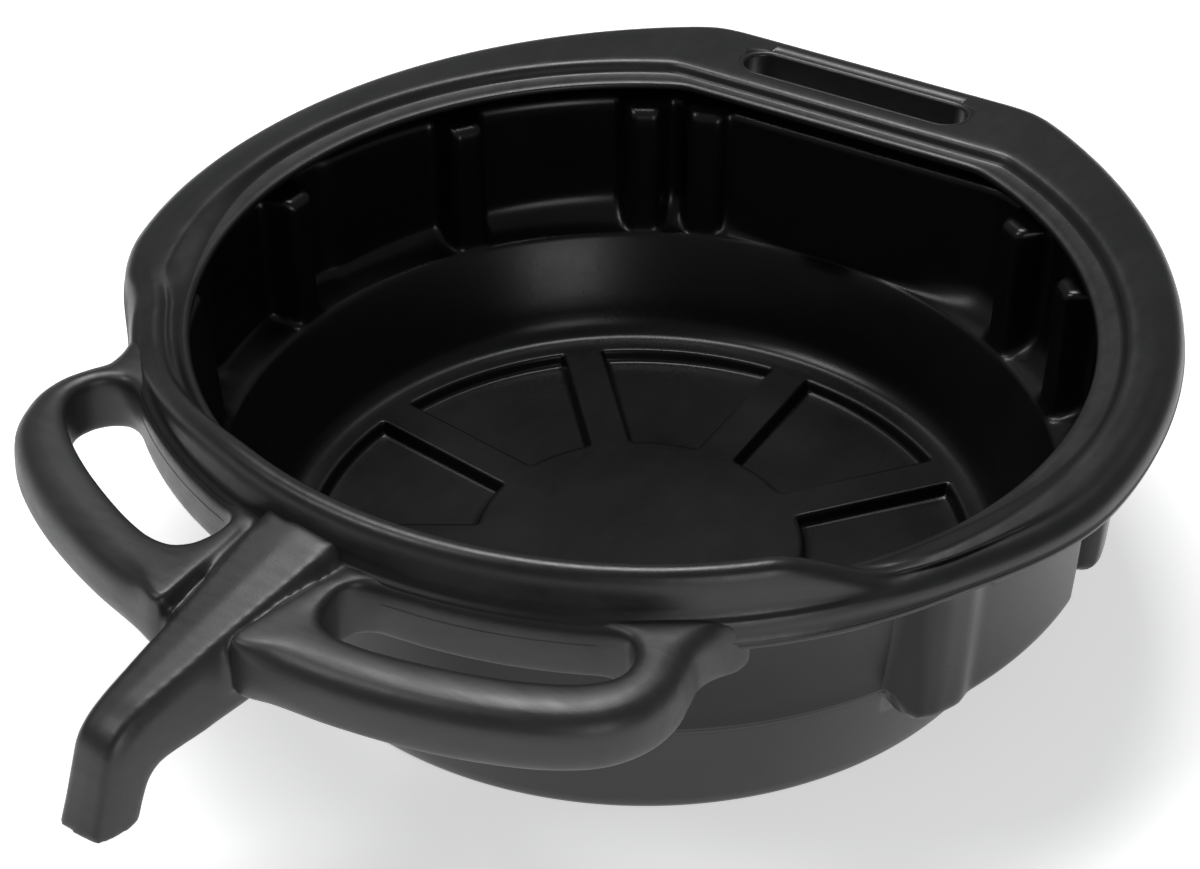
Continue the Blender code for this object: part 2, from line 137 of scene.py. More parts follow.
# One smooth surface over rings of points, joined round the rings and round the points.
def skinOver(name, rings, aroundRings, aroundPoints, capped=False):
    rows = [list(ring) for ring in rings]
    if aroundPoints:
        rows = [row + [row[0]] for row in rows]
    if aroundRings:
        rows.append(rows[0])
    mesh = bmesh.new()
    bmesh.ops.create_grid(
        mesh, x_segments=len(rows) - 1, y_segments=len(rows[0]) - 1, size=1.0
    )
    for vert in mesh.verts:
        row = round((vert.co.x + 1.0) / 2.0 * (len(rows) - 1))
        point = round((vert.co.y + 1.0) / 2.0 * (len(rows[0]) - 1))
        vert.co = rows[row][point]
    bmesh.ops.remove_doubles(mesh, verts=mesh.verts, dist=1e-6)
    bmesh.ops.dissolve_degenerate(mesh, edges=mesh.edges, dist=1e-7)
    if capped:
        bmesh.ops.holes_fill(mesh, edges=mesh.edges, sides=0)
    bmesh.ops.recalc_face_normals(mesh, faces=mesh.faces)
    data = bpy.data.meshes.new(name)
    mesh.to_mesh(data)
    mesh.free()
    data.shade_smooth()
    made = bpy.data.objects.new(name, data)
    scene.collection.objects.link(made)
    return made


# Takes the cutter's shape out of the piece for good and removes the cutter.
def cutOut(piece, cutter):
    modifier = piece.modifiers.new("opening", "BOOLEAN")
    modifier.operation = "DIFFERENCE"
    modifier.solver = "EXACT"
    modifier.object = cutter
    graph = bpy.context.evaluated_depsgraph_get()
    fresh = bpy.data.meshes.new_from_object(piece.evaluated_get(graph))
    piece.modifiers.clear()
    stale = piece.data
    piece.data = fresh
    bpy.data.meshes.remove(stale)
    bpy.data.objects.remove(cutter)


# Plastic.
plastic = {
    "black": (0.0075, 0.0076, 0.008),
    "dusty": (0.011, 0.0112, 0.0117),
    "roughness": 0.36,
    "specular": 0.5,
    "grainScale": 1500.0,
    "grainHeight": 0.00003,
    "rippleScale": 55.0,
    "rippleHeight": 0.00035,
    "streakScale": 160.0,
    "streak": 0.04,
    "streakHeight": 0.00006,
    "scuff": 0.09,
}


def makePlastic(name, settings):
    made = bpy.data.materials.new(name)
    made.use_nodes = True
    tree = made.node_tree
    nodes = tree.nodes
    links = tree.links
    shader = nodes["Principled BSDF"]
    shader.inputs["Metallic"].default_value = 0.0
    shader.inputs["IOR"].default_value = 1.52
    shader.inputs["Specular IOR Level"].default_value = settings["specular"]
    place3d = nodes.new("ShaderNodeTexCoord")

    def noise(scale, detail, rough, stretch=(1.0, 1.0, 1.0)):
        mapping = nodes.new("ShaderNodeMapping")
        mapping.inputs["Scale"].default_value = stretch
        texture = nodes.new("ShaderNodeTexNoise")
        texture.inputs["Scale"].default_value = scale
        texture.inputs["Detail"].default_value = detail
        texture.inputs["Roughness"].default_value = rough
        links.new(place3d.outputs["Object"], mapping.inputs["Vector"])
        links.new(mapping.outputs["Vector"], texture.inputs["Vector"])
        return texture

    def spread(source, low, high, bottom, top):
        ranged = nodes.new("ShaderNodeMapRange")
        ranged.inputs["From Min"].default_value = low
        ranged.inputs["From Max"].default_value = high
        ranged.inputs["To Min"].default_value = bottom
        ranged.inputs["To Max"].default_value = top
        links.new(source, ranged.inputs["Value"])
        return ranged.outputs["Result"]

    cloud = noise(9.0, 4.0, 0.6)
    grain = noise(settings["grainScale"], 2.0, 0.5)
    ripple = noise(settings["rippleScale"], 3.0, 0.55)
    streak = noise(settings["streakScale"], 3.0, 0.6, settings.get("stretch", (1.0, 0.25, 1.0)))
    scuff = noise(420.0, 4.0, 0.7, (0.2, 1.0, 1.0))

    colour = nodes.new("ShaderNodeMix")
    colour.data_type = "RGBA"
    colour.inputs["A"].default_value = (*settings["black"], 1.0)
    colour.inputs["B"].default_value = (*settings["dusty"], 1.0)
    links.new(spread(cloud.outputs["Fac"], 0.35, 0.7, 0.0, 1.0), colour.inputs["Factor"])
    links.new(colour.outputs["Result"], shader.inputs["Base Color"])

    base = settings["roughness"]
    broad = spread(cloud.outputs["Fac"], 0.3, 0.7, base - 0.04, base + 0.05)
    fine = spread(streak.outputs["Fac"], 0.3, 0.7, -settings["streak"], settings["streak"])
    added = nodes.new("ShaderNodeMath")
    added.operation = "ADD"
    links.new(broad, added.inputs[0])
    links.new(fine, added.inputs[1])
    scuffed = nodes.new("ShaderNodeMath")
    scuffed.operation = "ADD"
    links.new(added.outputs[0], scuffed.inputs[0])
    links.new(spread(scuff.outputs["Fac"], 0.62, 0.78, 0.0, settings["scuff"]), scuffed.inputs[1])
    links.new(scuffed.outputs[0], shader.inputs["Roughness"])

    lumps = nodes.new("ShaderNodeBump")
    lumps.inputs["Strength"].default_value = 1.0
    lumps.inputs["Distance"].default_value = settings["rippleHeight"]
    links.new(ripple.outputs["Fac"], lumps.inputs["Height"])
    grains = nodes.new("ShaderNodeBump")
    grains.inputs["Strength"].default_value = 1.0
    grains.inputs["Distance"].default_value = settings["grainHeight"]
    links.new(grain.outputs["Fac"], grains.inputs["Height"])
    drawn = nodes.new("ShaderNodeBump")
    drawn.inputs["Strength"].default_value = 1.0
    drawn.inputs["Distance"].default_value = settings["streakHeight"]
    links.new(streak.outputs["Fac"], drawn.inputs["Height"])
    links.new(lumps.outputs["Normal"], drawn.inputs["Normal"])
    links.new(drawn.outputs["Normal"], grains.inputs["Normal"])
    links.new(grains.outputs["Normal"], shader.inputs["Normal"])
    return made


# The basin's inside gets a darker copy of the same black plastic: painted shade for the hollow, which
# the lamps light less.
shadedInnerPlastic = makePlastic("shadedInnerPlastic", {
    **plastic, "black": (0.0035, 0.0036, 0.0038), "dusty": (0.005, 0.0051, 0.0054), "roughness": 0.28,
    "rippleHeight": 0.00008, "specular": 0.36, "scuff": 0.01, "streak": 0.008, "streakHeight": 0.00001,
})
rimPlastic = makePlastic("rimPlastic", {**plastic, "roughness": 0.36, "rippleHeight": 0.0002})
# The handles and spout get a lighter copy of the same black plastic: painted light for the brighter
# light they catch.
litFrontPlastic = makePlastic("litFrontPlastic", {
    **plastic, "black": (0.012, 0.0122, 0.0128), "dusty": (0.02, 0.0203, 0.021), "roughness": 0.4,
    "rippleHeight": 0.00015, "streakScale": 260.0, "stretch": (0.12, 0.9, 0.9),
})


def declare(piece, material, *nodes):
    piece.data.materials.clear()
    piece.data.materials.append(material)
    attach(piece, "root")
    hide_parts(*nodes)
    print(piece.name, len(piece.data.polygons), "faces")


# Basin.
basin = {
    "columns": 540,
    "ribs": 9,
    "ribHalf": 9.0,
    "ribDraft": 2.5,
    "hub": 74.0,
    "padEdge": 152.0,
    "floor": 9.0,
    "pad": 3.0,
    "skin": 3.0,
    "coneBase": (171.6, 4.5),
    "coneSlope": 0.327,
    "lip": (185.4, 53.65),
    "wall": 203.0,
    "chord": 186.6,
    "draft": 2.4,
    "shelf": 187.2,
    "shelfHeight": 56.2,
    "fillet": 62.0,
    "filletRise": 11.0,
    "front": (189.4, 195.2),
    "frontRight": (-28.0, -30.0),
    "frontLeft": (-160.0, -158.0),
    "bulges": (-24.5, 10.8, 169.2, 196.5),
    "bulge": 3.2,
    "bulgeHalf": 4.4,
    "pilasters": (4.4, 41.0, 57.0, 110.0, 119.0, 145.5, 175.6),
    "pilaster": 188.9,
    "pilasterHalf": 1.9,
    "pilasterEdge": 3.5,
    "wallTop": 118.5,
    "under": 123.4,
    "parting": 129.5,
}

rim = {
    "columns": 720,
    "trim": (194.2, 178.5),
    "ledge": (203.5, 184.6),
    "ledgeFront": 196.6,
    "ledgeHeight": 136.5,
    "step": (208.6, 189.0),
    "stepHeight": 141.6,
    "flange": 139.3,
    "chord": 241.0,
    "right": 228.8,
    "left": 232.0,
    "swell": 18.4,
    "lip": 220.0,
    "lipRight": (-6.0, -30.0),
    "lipLeft": (-164.0, -142.5),
    "ridge": 17.0,
    "ridgeRight": (-26.0, -40.0),
    "ridgeLeft": (-157.0, -147.0),
    "crestRight": (-33.0, -48.0),
    "crestLeft": (-141.0, -108.0),
    "crest": 208.6,
    "innerRight": (6.0, -28.0),
    "innerLeft": (174.0, 206.0),
}

slot = {"x": -2.0, "y": 210.5, "length": 58.0, "width": 10.8, "bottom": 119.6, "roll": 2.0}


def outerRadius(theta):
    side = rim["right"] if abs(wrapAngle(theta)) < 90.0 else rim["left"]
    swell = max(0.0, rearward(theta)) / 60.0
    side = side + rim["swell"] * swell * swell
    side = mix(side, rim["lip"], acrossFront(theta, rim["lipRight"], rim["lipLeft"]))
    return cutStraight(side, rim["chord"], theta, 2.4)


def pushedIn(theta):
    reach = 0.0
    for centre in basin["pilasters"]:
        away = abs(wrapAngle(theta - centre))
        reach = max(reach, 1.0 - ease(basin["pilasterHalf"], basin["pilasterEdge"], away))
    return reach


def bulging(theta):
    reach = 0.0
    for centre in basin["bulges"]:
        away = abs(wrapAngle(theta - centre)) / basin["bulgeHalf"]
        reach = max(reach, 1.0 - ease(0.3, 1.0, away))
    return reach


def wallRadius(theta, z):
    rise = max(0.0, z - basin["shelfHeight"]) / (basin["wallTop"] - basin["shelfHeight"])
    side = basin["wall"] + basin["draft"] * rise + basin["bulge"] * bulging(theta)
    side = cutStraight(side, basin["chord"], theta, 1.2)
    side = mix(side, min(side, basin["pilaster"]), pushedIn(theta))
    front = mix(basin["front"][0], basin["front"][1], rise)
    return mix(side, front, acrossFront(theta, basin["frontRight"], basin["frontLeft"]))


def coneRadius(z):
    return basin["coneBase"][0] + basin["coneSlope"] * (z - basin["coneBase"][1])


def moved(points, distance):
    made = []
    for index, (r, z) in enumerate(points):
        before = points[max(0, index - 1)]
        after = points[min(len(points) - 1, index + 1)]
        sides = []
        for start, end in ((before, (r, z)), ((r, z), after)):
            length = math.hypot(end[0] - start[0], end[1] - start[1])
            if length > 1e-6:
                sides.append(((end[1] - start[1]) / length, -(end[0] - start[0]) / length))
        nr = sum(side[0] for side in sides) / len(sides)
        nz = sum(side[1] for side in sides) / len(sides)
        scale = distance / max(0.55, nr * nr + nz * nz)
        made.append((r + nr * scale, z + nz * scale))
    return made


def wallLines(theta):
    outer = outerRadius(theta) - basin["skin"]
    top = wallRadius(theta, basin["wallTop"])
    pushed = pushedIn(theta)
    shelf = basin["shelfHeight"]
    fillet = basin["fillet"] + basin["filletRise"] * max(0.0, rearward(theta)) / 60.0
    fillet = mix(fillet, 72.0, pushed)
    foot = wallRadius(theta, fillet)
    edge = min(basin["shelf"], foot - 0.3)
    wide = foot - edge
    under = basin["under"]
    inside = [
        (edge - 0.5, shelf - 0.7),
        (edge + 0.25 * wide, shelf + 0.5),
        (edge + 0.72 * wide, mix(shelf, fillet, 0.36)),
        (edge + 0.94 * wide - 0.2 * pushed, mix(shelf, fillet, 0.7)),
        (foot, fillet),
        (wallRadius(theta, 86.0), 86.0),
        (wallRadius(theta, 108.0), 108.0),
        (top, basin["wallTop"]),
        (top + 1.3, under - 1.9),
        (top + 4.2, under),
        (mix(top + 4.2, outer, 0.6), under + 0.3),
        (outer - 3.2, under + 0.9),
        (outer - 1.0, under + 3.0),
        (outer, basin["parting"]),
    ]
    low = basin["lip"][1]
    skin = wallRadius(theta, low) + basin["skin"]
    tight = 1.0 - min(1.0, max(0.0, (skin - 192.6) / 11.0))
    start = coneRadius(low - 1.5)
    outside = [(start, low - 1.5)]
    loose = ((0.1, 52.2), (0.4, 51.2), (0.76, 52.0), (0.96, 55.0), (1.0, 60.5))
    snug = ((56.0, 0.35), (58.6, 0.25), (61.6, 0.15), (62.8, 0.08), (66.0, 0.0))
    for (share, looseHeight), (snugHeight, slack) in zip(loose, snug):
        close = skin - slack
        if snugHeight < 62.0:
            close = min(coneRadius(snugHeight), close)
        r = mix(mix(start, skin, share), close, tight)
        outside.append((r, mix(looseHeight, snugHeight, tight)))
    outside = outside + moved(inside, basin["skin"])[5:]
    outside[-1] = (outer + basin["skin"], basin["parting"] - 0.2)
    outside[-2] = (outer + basin["skin"] - 0.6, basin["parting"] - 3.4)
    return inside, outside


# Plan angle inside one of the nine sectors, running beside the ribs over the floor.
def floorAngle(share, r):
    sector = 360.0 / basin["ribs"]
    side = share if share <= 0.5 else 1.0 - share
    reach = min(max(r, basin["hub"] * 0.6), basin["padEdge"])
    top = math.degrees(math.asin(basin["ribHalf"] / reach))
    foot = math.degrees(math.asin((basin["ribHalf"] + basin["ribDraft"]) / reach))
    if side < 0.15:
        beside = top * side / 0.15
    elif side < 0.25:
        beside = mix(top, foot, (side - 0.15) / 0.1)
    else:
        beside = mix(foot, sector / 2.0, (side - 0.25) / 0.25)
    fade = ease(basin["padEdge"], basin["coneBase"][0], r)
    fade = max(fade, 1.0 - ease(basin["hub"] * 0.35, basin["hub"] * 0.8, r))
    away = mix(beside, sector * side, fade)
    return away if share <= 0.5 else sector - away


def floorDip(share, r):
    side = share if share <= 0.5 else 1.0 - share
    across = ease(0.15, 0.25, side)
    along = ease(basin["hub"], basin["hub"] + 2.6, r)
    along = along * (1.0 - ease(basin["padEdge"] - 2.6, basin["padEdge"], r))
    return (basin["floor"] - basin["pad"]) * across * along


def makeBasin():
    sector = 360.0 / basin["ribs"]
    perSector = basin["columns"] // basin["ribs"]
    flat = [0.0, 12.0, 26.0, 42.0, 56.0, 66.0, 72.0, 73.6, 74.3, 75.0, 75.7, 76.3, 77.0, 80.0]
    flat += [90.0, 104.0, 120.0, 134.0, 144.0, 148.6, 149.7, 150.4, 151.0, 151.6, 152.3, 154.0]
    bend = [(157.0, 9.0), (160.0, 9.25), (163.4, 10.6), (167.4, 15.4), (171.4, 25.0), (178.5, 40.0)]
    bend.append(basin["lip"])
    counts = [1, 3, 3, 3, 3, 3, 2, 2, 2, 2, 2, 2, 2, 2, 2, 2, 2, 3, 2, 1, 1, 1]
    outCounts = [1, 1, 2, 2, 2, 2, 2, 2, 2, 1, 1, 1, 1, 1, 1]
    foot = [(170.3, 2.2), (168.2, 0.5), (166.0, 0.0), (161.0, 0.0), (159.0, 6.0)]
    rings = []
    for column in range(basin["columns"]):
        whole, part = divmod(column, perSector)
        share = part / perSector
        base = 90.0 + sector * whole
        ring = []
        for r in flat:
            ring.append(around(base + floorAngle(share, r), r, basin["floor"] - floorDip(share, r)))
        theta = base + sector * share
        inside, outside = wallLines(theta)
        inner = smoothLine(bend + inside, counts)
        ring += [around(theta, r, z) for r, z in inner]
        under = list(reversed(smoothLine(outside, outCounts[: len(outside) - 1])))
        under += [(coneRadius(40.0), 40.0), (coneRadius(22.0), 22.0), (coneRadius(9.0), 9.0)]
        under += [basin["coneBase"]] + foot
        ring += [around(theta, r, z) for r, z in under]
        for r in (152.0, 149.6, 134.0, 104.0, 76.6, 74.2, 60.0, 30.0, 0.0):
            height = basin["floor"] - basin["skin"] - floorDip(share, r)
            ring.append(around(base + floorAngle(share, r), r, height))
        rings.append(ring)
    piece = skinOver("basinSkin", rings, True, False)
    cutOut(piece, slotTool(basin["skin"] + 0.2))
    declare(piece, shadedInnerPlastic, "sump", "side_wall")
    return piece


def slotTool(margin):
    radius = slot["width"] + margin
    straight = slot["length"] - slot["width"]
    outline = []
    for end in (1.0, -1.0):
        for step in range(33):
            angle = math.radians(-90.0 + 5.625 * step)
            x = slot["x"] + end * (straight + radius * math.cos(angle))
            outline.append((x, slot["y"] + end * radius * math.sin(angle)))
    mesh = bmesh.new()
    verts = [mesh.verts.new(place(x, y, 100.0)) for x, y in outline]
    face = mesh.faces.new(verts)
    lifted = bmesh.ops.extrude_face_region(mesh, geom=[face])
    tops = [item for item in lifted["geom"] if isinstance(item, bmesh.types.BMVert)]
    bmesh.ops.translate(mesh, verts=tops, vec=(0.0, 0.0, 0.06))
    bmesh.ops.recalc_face_normals(mesh, faces=mesh.faces)
    data = bpy.data.meshes.new("slotTool")
    mesh.to_mesh(data)
    mesh.free()
    tool = bpy.data.objects.new("slotTool", data)
    scene.collection.objects.link(tool)
    return tool


# Rim.
def rimLine(theta):
    trim = cutStraight(rim["trim"][0], rim["trim"][1], theta, 0.8)
    nearFront = acrossFront(theta, rim["innerRight"], rim["innerLeft"])
    ledge = mix(rim["ledge"][0], rim["ledgeFront"], nearFront)
    ledge = cutStraight(ledge, rim["ledge"][1], theta, 0.8)
    step = cutStraight(rim["step"][0], rim["step"][1], theta, 0.8)
    outer = outerRadius(theta)
    height = rim["ridge"] * acrossFront(theta, rim["crestRight"], rim["crestLeft"])
    base = rim["ledgeHeight"]
    raised = rim["stepHeight"]
    edge = rim["flange"]
    crest = raised + height
    side = [
        (ledge, base),
        (ledge + 1.4, base + 0.9),
        (step - 1.8, raised - 1.2),
        (step + 0.6, raised),
        (mix(step, outer, 0.25), raised - 0.3),
        (mix(step, outer, 0.45), raised - 0.9),
        (outer - 8.4, edge + 0.4),
        (outer - 4.8, edge - 0.7),
        (outer - 2.0, edge - 2.8),
        (outer - 0.4, edge - 5.8),
        (outer, basin["parting"] + 0.2),
    ]
    top = rim["crest"]
    front = [
        (ledge, base),
        (ledge + 1.6, base + 1.0),
        (mix(ledge, top, 0.42), mix(base + 2.4, crest, 0.55)),
        (top - 4.6, crest - 2.4),
        (top - 2.0, crest - 0.5),
        (top + 0.8, crest),
        (top + 3.6, crest - 1.2),
        (top + 5.8, crest - 0.22 * height - 1.9),
        (top + 7.6, edge + 0.06 * height),
        (top + 10.0, edge - 1.6),
        (outer, basin["parting"] + 0.2),
    ]
    blend = acrossFront(theta, rim["ridgeRight"], rim["ridgeLeft"])
    line = [(mix(a[0], b[0], blend), mix(a[1], b[1], blend)) for a, b in zip(side, front)]
    lead = [(trim, base - 2.4), (trim + 0.1, base - 1.1), (trim + 0.9, base - 0.25)]
    lead.append((mix(trim, ledge, 0.4), base))
    return lead + line


# Height of the rim's top face over a point of the plan.
def rimHeight(x, y):
    theta = math.degrees(math.atan2(y, x))
    line = smoothLine(rimLine(theta), 4)
    r = math.hypot(x, y)
    for start, end in zip(line, line[1:]):
        if start[0] <= r <= end[0]:
            return mix(start[1], end[1], (r - start[0]) / (end[0] - start[0]))
    return rim["flange"]


def makeRim():
    counts = [1, 2, 1, 1, 2, 3, 3, 3, 2, 2, 3, 3, 3, 2]
    rings = []
    for column in range(rim["columns"]):
        theta = 360.0 * column / rim["columns"]
        line = rimLine(theta)
        top = smoothLine(line, counts)
        under = [(r, z - 2.4) for r, z in reversed(line[4:10])]
        flash = [(line[-1][0] + 0.35, line[-1][1] - 0.25), (line[-1][0] - 2.6, line[-1][1] - 0.3)]
        under = flash + [(line[-1][0] - 3.4, line[-1][1] + 2.0)] + under[1:]
        under.append((line[0][0], line[0][1] - 0.8))
        rings.append([around(theta, r, z) for r, z in top + under])
    piece = skinOver("rimSkin", rings, True, True)
    cutOut(piece, slotTool(slot["roll"] + 0.25))
    declare(piece, rimPlastic, "seat_ledge", "rim_right", "rim_left", "rear_grip", "splash_ridge")
    return piece


# Rolled edge and wall round the grip slot.
def makeSlotLining():
    roll = slot["roll"]
    straight = slot["length"] - slot["width"]
    rings = []
    for end in (1.0, -1.0):
        for step in range(41):
            angle = math.radians(-90.0 + 4.5 * step)
            across = (math.cos(angle), math.sin(angle))
            ring = []
            centre = (slot["x"] + end * straight, slot["y"])

            def spot(margin):
                radius = slot["width"] + margin
                return centre[0] + end * radius * across[0], centre[1] + end * radius * across[1]

            edge = spot(roll + 0.6)
            height = rimHeight(*edge)
            profile = [(roll + 0.6, 0.03), (roll + 0.1, 0.03)]
            for turn in range(1, 9):
                bend = math.radians(90.0 * turn / 8.0)
                profile.append((roll * (1.0 - math.sin(bend)), roll * (math.cos(bend) - 1.0)))
            bottom = slot["bottom"] - height
            profile += [(0.25, bottom + 1.4), (0.55, bottom + 0.5), (1.3, bottom), (2.6, bottom)]
            profile += [(2.9, bottom + 0.8), (2.7, -3.2)]
            for margin, drop in profile:
                x, y = spot(margin)
                ring.append(place(x, y, height + drop))
            rings.append(ring)
    piece = skinOver("slotLining", rings, True, True)
    declare(piece, rimPlastic, "rear_grip")
    return piece


# Handles.
handles = {
    "outer": (
        (48.6, 218.2), (45.6, 221.8), (43.3, 229.0), (42.0, 240.0), (40.8, 251.0), (38.6, 262.4),
        (35.4, 271.2), (31.0, 275.2), (25.0, 276.2), (18.5, 276.0), (12.5, 275.8), (7.0, 275.8),
        (4.4, 275.4), (3.52, 272.6), (3.64, 266.0), (4.15, 252.0), (4.85, 234.0), (5.4, 220.3),
    ),
    "slot": (
        (33.6, 220.3), (35.4, 222.4), (36.3, 226.0), (36.7, 232.0), (36.4, 239.0), (35.2, 246.0),
        (32.4, 250.6), (28.4, 252.2), (23.5, 252.5), (18.0, 252.6), (13.8, 252.8), (10.8, 251.8),
        (8.9, 248.0), (8.0, 242.0), (7.7, 235.0), (7.8, 228.5), (8.6, 222.8), (10.2, 220.3),
    ),
    "top": 139.0,
    "bottom": 112.0,
    "round": 8.0,
    "spoutRound": 2.0,
    "slotRound": 4.0,
    "spread": {1.0: -0.3, -1.0: -2.3},
}


def barLoop(width, top, bottom, a, b):
    return [
        (0.0, bottom + b),
        (0.0, mix(bottom, top, 0.47)),
        (-0.15, mix(bottom, top, 0.5)),
        (0.0, mix(bottom, top, 0.53)),
        (0.0, top - b),
        (0.3 * b, top - 0.3 * b),
        (b, top),
        (width - 1.3 * a, top),
        (width - 0.55 * a, top - 0.28 * a),
        (width - 0.12 * a, top - 0.85 * a),
        (width, top - 1.5 * a),
        (width, bottom + 0.8 * a),
        (width - 0.3 * a, bottom + 0.25 * a),
        (width - 0.85 * a, bottom),
        (b, bottom),
        (0.3 * b, bottom + 0.3 * b),
    ]


def makeHandle(name, side):
    stations = []
    for (angle, radius), (slotAngle, slotRadius) in zip(handles["outer"], handles["slot"]):
        angle = angle + handles["spread"][side] * ease(12.0, 38.0, angle)
        far = (radius * math.sin(math.radians(angle)), radius * math.cos(math.radians(angle)))
        near = (
            slotRadius * math.sin(math.radians(slotAngle)),
            slotRadius * math.cos(math.radians(slotAngle)),
        )
        rounding = mix(handles["spoutRound"], handles["round"], ease(4.0, 7.2, angle))
        stations.append((*far, *near, rounding))
    first = stations[0]
    last = stations[-1]
    smooth = smoothLine([Vector(station) for station in stations], 6)
    smooth = [tuple(station) for station in smooth]
    inward = 0.968
    smooth = [tuple(v * inward for v in first[:4]) + (first[4],)] + smooth
    smooth = smooth + [tuple(v * inward for v in last[:4]) + (last[4],)]
    rings = []
    for farX, farY, nearX, nearY, rounding in smooth:
        width = math.hypot(farX - nearX, farY - nearY)
        way = ((farX - nearX) / width, (farY - nearY) / width)
        rounding = min(rounding, 0.42 * width)
        loop = barLoop(width, handles["top"], handles["bottom"], rounding, handles["slotRound"])
        ring = []
        for along, z in smoothLine(loop, 4, True):
            ring.append(alongFront(side * (nearX + way[0] * along), -(nearY + way[1] * along), z))
        rings.append(ring)
    return skinOver(name, rings, False, True, True)


# Spout.
spout = {
    "stations": (
        (209.0, 147.2, 211.0, 113.0, 18.5, 21.5), (220.4, 145.0, 220.4, 106.0, 17.3, 20.3),
        (235.0, 141.8, 234.5, 101.5, 15.9, 19.3), (260.0, 136.4, 258.5, 97.6, 13.4, 17.1),
        (285.0, 130.9, 282.0, 96.0, 10.9, 15.0), (303.0, 127.0, 298.5, 95.8, 9.0, 13.6),
        (313.0, 124.6, 305.0, 95.0, 8.0, 12.9), (321.5, 120.8, 309.5, 93.0, 7.6, 12.6),
        (328.0, 115.0, 312.5, 89.5, 7.6, 12.4), (332.2, 104.5, 315.0, 84.5, 7.9, 12.2),
        (336.5, 91.5, 316.8, 80.5, 8.4, 12.2), (341.2, 78.8, 318.2, 76.8, 9.0, 12.2),
    ),
    "skin": 2.8,
    "edge": 0.9,
}


def spoutLoop(station, skin):
    topR, topZ, underR, underZ, flat, wide = station
    depth = math.hypot(topR - underR, topZ - underZ)
    flat = flat - 0.6 * skin
    wide = wide - skin
    half = [(flat, 0.0), (mix(flat, wide, 0.42), 0.07), (mix(flat, wide, 0.86), 0.2), (wide, 0.32)]
    half += [(wide, 0.64), (wide - 1.2, 0.9), (wide - 4.0, 1.0)]
    corners = half + [(-x, part) for x, part in reversed(half)]
    total = len(corners)
    eased = []
    for index, (x, part) in enumerate(corners):
        here = Vector((x, part * depth))
        if index in (0, 1, 3, 6, 7, 10, 12, 13):
            for other in (corners[index - 1], corners[(index + 1) % total]):
                to = Vector((other[0], other[1] * depth)) - here
                eased.append(here + to * min(0.45, spout["edge"] / to.length))
        else:
            eased.append(here)
    first = skin / depth
    ring = []
    for x, down in smoothLine(eased, 2, True):
        t = mix(first, 1.0 - first, down / depth)
        ring.append(alongFront(x, -mix(topR, underR, t), mix(topZ, underZ, t)))
    return ring


def makeSpout():
    smooth = smoothLine([Vector(station) for station in spout["stations"]], 6)
    outside = [spoutLoop(station, 0.0) for station in smooth]
    inside = [spoutLoop(station, spout["skin"]) for station in reversed(smooth[6:])]
    return skinOver("spoutBody", outside + inside, True, True)


# Front assembly: handles and spout grown together on the lip of the rim.
front = {
    "voxel": 0.0013,
    "reach": (-43.5, 46.5),  # plan angles of the lip band, from the front axis
    "steps": 120,
    "skirt": 112.2,  # height of the band's underside
    "even": 2,  # smoothing passes over the whole piece
    "blend": 16,  # most smoothing passes where bodies run together
    "width": 7.0,
    "spoutSides": (20.0, 14.5),  # half width of the spout near the rim and near its bend
    "spoutReach": (220.0, 285.0),
}


# The band of the rim that the handles and the spout grow from.
def makeLip():
    rings = []
    lip = rim["lip"]
    edge = rim["flange"]
    profile = [(lip - 9.0, edge - 3.0), (lip - 6.0, edge - 0.2), (lip - 3.0, edge - 0.2)]
    profile += [(lip - 1.4, edge - 0.7), (lip - 0.3, edge - 2.0), (lip + 0.2, edge - 4.2)]
    skirt = front["skirt"]
    profile += [(lip + 0.2, skirt + 2.0), (lip - 1.2, skirt + 0.2), (lip - 9.0, skirt)]
    for step in range(front["steps"] + 1):
        theta = plan["frontAxis"] + mix(*front["reach"], step / front["steps"])
        rings.append([around(theta, r, z) for r, z in profile])
    return skinOver("lipBody", rings, False, True, True)


# 1 where the handles and the spout run into each other and into the rim, 0 well away.
def joinedWeight(co):
    x = co.x / plan["unit"] - plan["shiftX"]
    y = co.y / plan["unit"] - plan["shiftY"]
    turn = math.radians(-plan["frontAxis"] - 90.0)
    across = abs(x * math.cos(turn) - y * math.sin(turn))
    r = math.hypot(x, y)
    atRim = 1.0 - ease(2.5, front["width"], abs(r - rim["lip"]))
    flank = mix(*front["spoutSides"], ease(*front["spoutReach"], r))
    beside = 1.0 - ease(1.0, 0.6 * front["width"], abs(across - flank))
    beside = beside * (1.0 - ease(278.0, 286.0, r))
    return max(atRim, beside)


def softened(mesh, verts):
    axes = {"use_axis_x": True, "use_axis_y": True, "use_axis_z": True}
    bmesh.ops.smooth_vert(mesh, verts=verts, factor=0.5, **axes)


